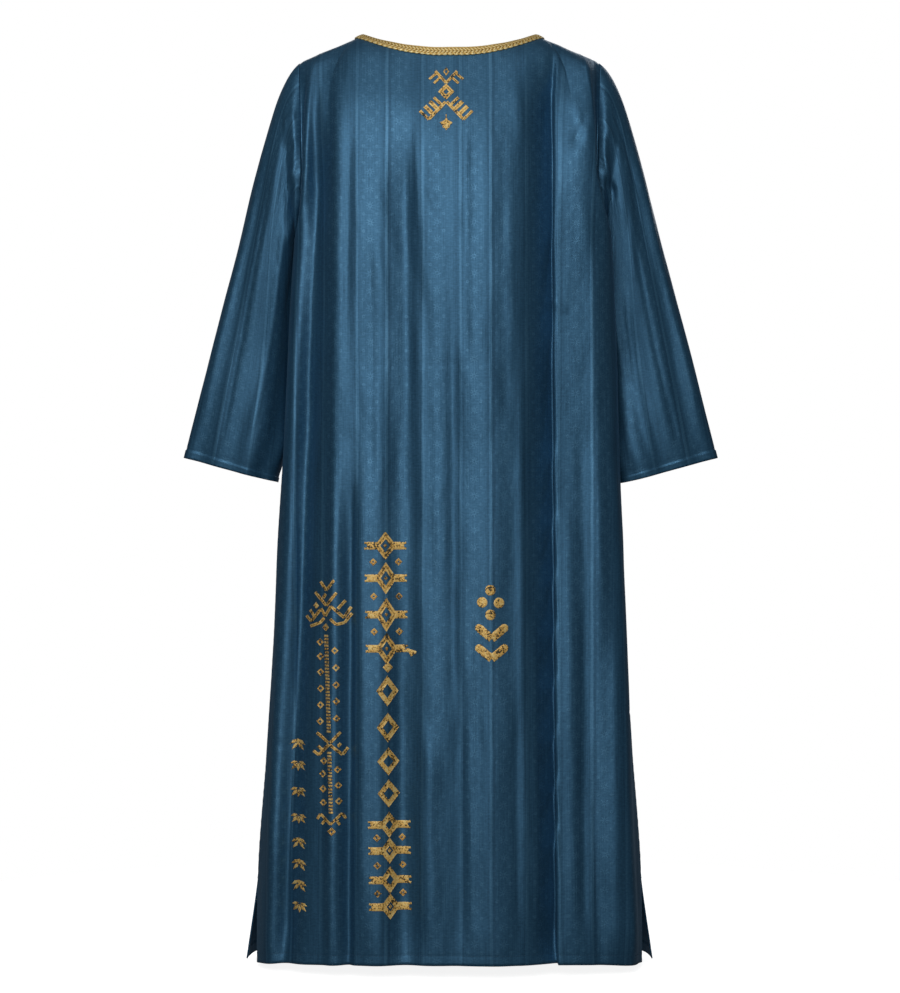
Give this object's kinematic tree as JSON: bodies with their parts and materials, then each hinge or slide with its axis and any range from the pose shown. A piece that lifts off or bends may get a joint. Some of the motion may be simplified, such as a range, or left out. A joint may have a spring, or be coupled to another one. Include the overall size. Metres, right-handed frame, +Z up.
{
  "type": "caftan",
  "caption": "Ankle-length blue jacquard satin caftan in its worn, hollow form, seen from the back, with gold neck braid and embroidery, long sleeves and side slits.",
  "frame": {"origin": "between the two neck points, 4 mm below them, where the wearer's shoulders hold the garment up", "axes": "+Z up, -Y out of the garment's back (the side pictured), -X towards the wearer's left sleeve"},
  "size_m": [0.772, 0.3208, 1.3375],
  "materials": {
    "blue_satin": "steel-blue jacquard satin with tonal woven stripes and small star bands, soft vertical sheen",
    "gold_braid": "flat woven braid of gold metallic thread with a scalloped lower edge"
  },
  "bodies": {
    "root": {"back_panel": "blue_satin", "front_panel": "blue_satin", "sleeve_left": "blue_satin", "sleeve_right": "blue_satin", "neck_braid": "gold_braid"}
  },
  "joints": []
}
